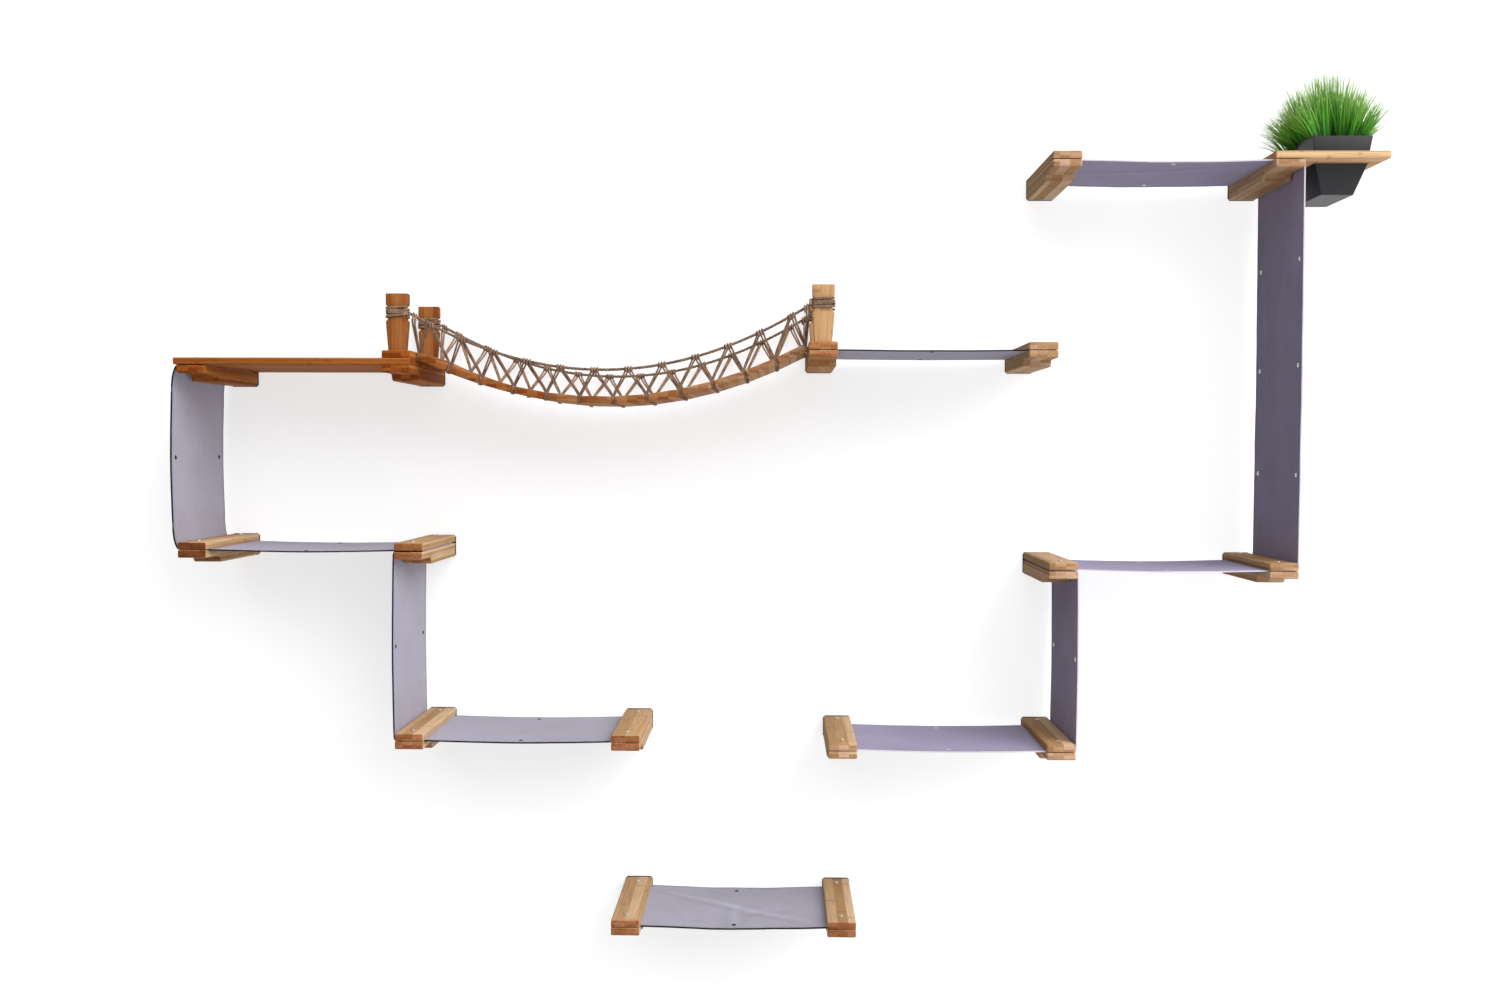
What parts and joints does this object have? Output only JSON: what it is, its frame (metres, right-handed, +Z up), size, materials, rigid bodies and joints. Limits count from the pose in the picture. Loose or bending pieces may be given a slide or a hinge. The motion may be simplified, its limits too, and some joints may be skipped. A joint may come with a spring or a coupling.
{
  "type": "wall-mounted cat tree",
  "caption": "Wall-mounted cat climbing run: bamboo brackets clamping canvas hammocks, with a shelf, a rope bridge and a planter.",
  "frame": {"origin": "middle of the two wall screw holes of the lowest left bracket, on the wall plane", "axes": "+X to the right along the wall, +Y into the wall, +Z up; the run stands out from the wall towards -Y"},
  "size_m": [2.2687, 0.2794, 1.621],
  "materials": {
    "bamboo": "oiled bamboo, satin",
    "canvas": "matte woven canvas with folded hems",
    "steel": "dark grey powder coat",
    "screw": "black oxide",
    "eyelet": "dark bronze",
    "rope": "twisted jute",
    "cord": "twisted jute twine",
    "pot": "matte charcoal",
    "grass": "moulded soft plastic blades"
  },
  "bodies": {
    "wall_run": {"block_left_top": "bamboo", "block_left_middle_outer": "bamboo", "block_left_middle_inner": "bamboo", "block_left_low_outer": "bamboo", "block_left_low_inner": "bamboo", "block_bottom_left": "bamboo", "block_bottom_right": "bamboo", "block_right_low_inner": "bamboo", "block_right_low_outer": "bamboo", "block_right_middle_inner": "bamboo", "block_right_middle_outer": "bamboo", "block_right_top_inner": "bamboo", "block_right_top_outer": "bamboo", "block_landing": "bamboo", "block_bridge_left": "bamboo", "block_bridge_right": "bamboo", "clamp_board_left_middle_outer": "bamboo", "clamp_board_left_middle_inner": "bamboo", "clamp_board_left_low_outer": "bamboo", "clamp_board_left_low_inner": "bamboo", "clamp_board_bottom_left": "bamboo", "clamp_board_bottom_right": "bamboo", "clamp_board_right_low_inner": "bamboo", "clamp_board_right_low_outer": "bamboo", "clamp_board_right_middle_inner": "bamboo", "clamp_board_right_middle_outer": "bamboo", "clamp_board_right_top_inner": "bamboo", "clamp_board_landing": "bamboo", "clamp_board_bridge_left": "bamboo", "clamp_board_bridge_right": "bamboo", "shelf": "bamboo", "planter_shelf": "bamboo", "wall_plates": "steel", "retaining_screws": "screw", "clamp_screws": "screw", "eyelets": "eyelet", "bridge_posts": "bamboo", "post_screws": "screw", "post_windings": "rope", "deck_ropes": "rope", "hand_ropes": "rope", "canvas_left_upper": "canvas", "canvas_left_lower": "canvas", "canvas_right_upper": "canvas", "canvas_right_lower": "canvas", "canvas_landing": "canvas", "canvas_bottom": "canvas"},
    "planter": {"planter_pot": "pot", "grass": "grass"},
    "deck_outer": {"planks_outer": "bamboo", "lacing_outer": "cord"},
    "deck_second": {"planks_second": "bamboo", "lacing_second": "cord"},
    "deck_third": {"planks_third": "bamboo", "lacing_third": "cord"},
    "deck_fourth": {"planks_fourth": "bamboo", "lacing_fourth": "cord"},
    "deck_middle": {"planks_middle": "bamboo", "lacing_middle": "cord"}
  },
  "joints": [
    {"name": "planter_lift", "type": "slide", "parent": "wall_run", "child": "planter", "axis": [0, 0, 1], "range_m": [0, 0.12]},
    {"name": "bridge_sway", "type": "slide", "parent": "wall_run", "child": "deck_middle", "axis": [0, 1, 0], "range_m": [-0.012, 0.012], "stiffness_N_per_m": 190, "deforming": ["deck_ropes", "hand_ropes"]},
    {"name": "sway_fourth", "type": "slide", "parent": "wall_run", "child": "deck_fourth", "axis": [0, 1, 0], "range_m": [-0.012, 0.012]},
    {"name": "sway_third", "type": "slide", "parent": "wall_run", "child": "deck_third", "axis": [0, 1, 0], "range_m": [-0.012, 0.012]},
    {"name": "sway_second", "type": "slide", "parent": "wall_run", "child": "deck_second", "axis": [0, 1, 0], "range_m": [-0.012, 0.012]},
    {"name": "sway_outer", "type": "slide", "parent": "wall_run", "child": "deck_outer", "axis": [0, 1, 0], "range_m": [-0.012, 0.012]}
  ],
  "couplings": [
    {"joint": "sway_fourth", "follows": "bridge_sway", "ratio": 0.847},
    {"joint": "sway_third", "follows": "bridge_sway", "ratio": 0.668},
    {"joint": "sway_second", "follows": "bridge_sway", "ratio": 0.437},
    {"joint": "sway_outer", "follows": "bridge_sway", "ratio": 0.158}
  ]
}
